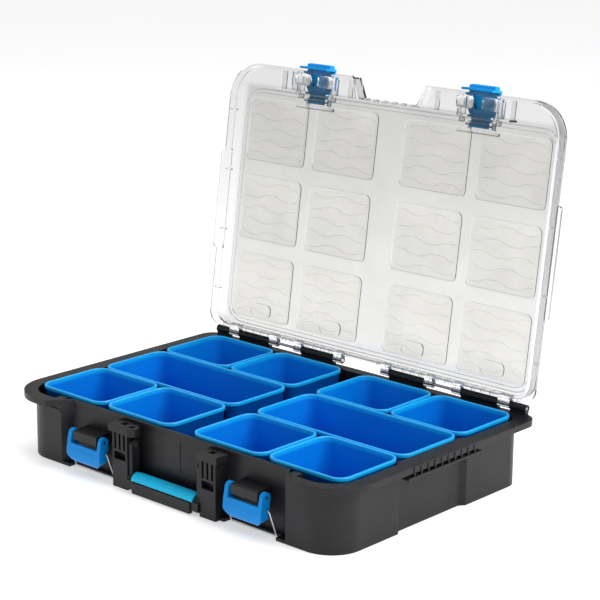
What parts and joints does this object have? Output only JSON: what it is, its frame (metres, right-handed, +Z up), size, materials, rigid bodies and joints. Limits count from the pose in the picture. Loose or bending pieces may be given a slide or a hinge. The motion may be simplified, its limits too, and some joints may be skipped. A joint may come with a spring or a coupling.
{
  "type": "parts organizer",
  "caption": "Low portable tray case with a clear hinged lid, lift-out bins in rows, front clamps with wire bails and a folding handle.",
  "frame": {"origin": "middle of the tray's flat underside, under the middle of the hinge and handle", "axes": "+Z up off the table, -Y towards the handle and clamps, +X to the right seen from the front"},
  "size_m": [0.568, 0.4425, 0.4706],
  "materials": {
    "tray_black": "fine satin grain",
    "bin_blue": "smooth semi-gloss",
    "latch_blue": "satin",
    "lid_clear": "clear polycarbonate",
    "steel": "bright wire"
  },
  "bodies": {
    "base": {"base_shell": "tray_black", "bracket_left": "tray_black", "bracket_right": "tray_black", "lever_pin_left": "steel", "lever_pin_right": "steel", "hinge_rod_left": "steel", "hinge_rod_right": "steel", "handle_pins": "steel"},
    "bin_front_1": {"bin_front_1": "bin_blue"},
    "bin_front_2": {"bin_front_2": "bin_blue"},
    "bin_front_3": {"bin_front_3": "bin_blue"},
    "bin_front_4": {"bin_front_4": "bin_blue"},
    "bin_wide_left": {"bin_wide_left": "bin_blue"},
    "bin_wide_right": {"bin_wide_right": "bin_blue"},
    "bin_rear_1": {"bin_rear_1": "bin_blue"},
    "bin_rear_2": {"bin_rear_2": "bin_blue"},
    "bin_rear_3": {"bin_rear_3": "bin_blue"},
    "bin_rear_4": {"bin_rear_4": "bin_blue"},
    "lid": {"lid_shell": "lid_clear", "catch_pin_left": "steel", "catch_pin_right": "steel"},
    "catch_left": {"catch_left": "latch_blue"},
    "catch_right": {"catch_right": "latch_blue"},
    "lever_left": {"lever_left": "latch_blue"},
    "lever_right": {"lever_right": "latch_blue"},
    "bail_left": {"bail_left": "steel"},
    "bail_right": {"bail_right": "steel"},
    "handle": {"handle_bar": "tray_black", "handle_grip": "latch_blue"}
  },
  "joints": [
    {"name": "lid_hinge", "type": "hinge", "parent": "base", "child": "lid", "pos_m": [0, 0.183, 0.092], "axis": [-1, 0, 0], "range_deg": [-97.7, 0]},
    {"name": "bin_front_1_lift", "type": "slide", "parent": "base", "child": "bin_front_1", "axis": [0, 0, 1], "range_m": [0, 0.11]},
    {"name": "bin_front_2_lift", "type": "slide", "parent": "base", "child": "bin_front_2", "axis": [0, 0, 1], "range_m": [0, 0.11]},
    {"name": "bin_front_3_lift", "type": "slide", "parent": "base", "child": "bin_front_3", "axis": [0, 0, 1], "range_m": [0, 0.11]},
    {"name": "bin_front_4_lift", "type": "slide", "parent": "base", "child": "bin_front_4", "axis": [0, 0, 1], "range_m": [0, 0.11]},
    {"name": "bin_wide_left_lift", "type": "slide", "parent": "base", "child": "bin_wide_left", "axis": [0, 0, 1], "range_m": [0, 0.11]},
    {"name": "bin_wide_right_lift", "type": "slide", "parent": "base", "child": "bin_wide_right", "axis": [0, 0, 1], "range_m": [0, 0.11]},
    {"name": "bin_rear_1_lift", "type": "slide", "parent": "base", "child": "bin_rear_1", "axis": [0, 0, 1], "range_m": [0, 0.11]},
    {"name": "bin_rear_2_lift", "type": "slide", "parent": "base", "child": "bin_rear_2", "axis": [0, 0, 1], "range_m": [0, 0.11]},
    {"name": "bin_rear_3_lift", "type": "slide", "parent": "base", "child": "bin_rear_3", "axis": [0, 0, 1], "range_m": [0, 0.11]},
    {"name": "bin_rear_4_lift", "type": "slide", "parent": "base", "child": "bin_rear_4", "axis": [0, 0, 1], "range_m": [0, 0.11]},
    {"name": "catch_left_lift", "type": "hinge", "parent": "lid", "child": "catch_left", "pos_m": [-0.136, 0.24397, 0.41979], "axis": [-1, 0, 0], "range_deg": [0, 20]},
    {"name": "lever_left_swing", "type": "hinge", "parent": "base", "child": "lever_left", "pos_m": [-0.136, -0.177, 0.049], "axis": [-1, 0, 0], "range_deg": [0, 100]},
    {"name": "bail_left_swing", "type": "hinge", "parent": "lever_left", "child": "bail_left", "pos_m": [-0.136, -0.177, 0.034], "axis": [-1, 0, 0], "range_deg": [0, 100]},
    {"name": "catch_right_lift", "type": "hinge", "parent": "lid", "child": "catch_right", "pos_m": [0.136, 0.24397, 0.41979], "axis": [-1, 0, 0], "range_deg": [0, 20]},
    {"name": "lever_right_swing", "type": "hinge", "parent": "base", "child": "lever_right", "pos_m": [0.136, -0.177, 0.049], "axis": [-1, 0, 0], "range_deg": [0, 100]},
    {"name": "bail_right_swing", "type": "hinge", "parent": "lever_right", "child": "bail_right", "pos_m": [0.136, -0.177, 0.034], "axis": [-1, 0, 0], "range_deg": [0, 100]},
    {"name": "handle_swing", "type": "hinge", "parent": "base", "child": "handle", "pos_m": [0, -0.173, 0.058], "axis": [-1, 0, 0], "range_deg": [0, 90]}
  ]
}
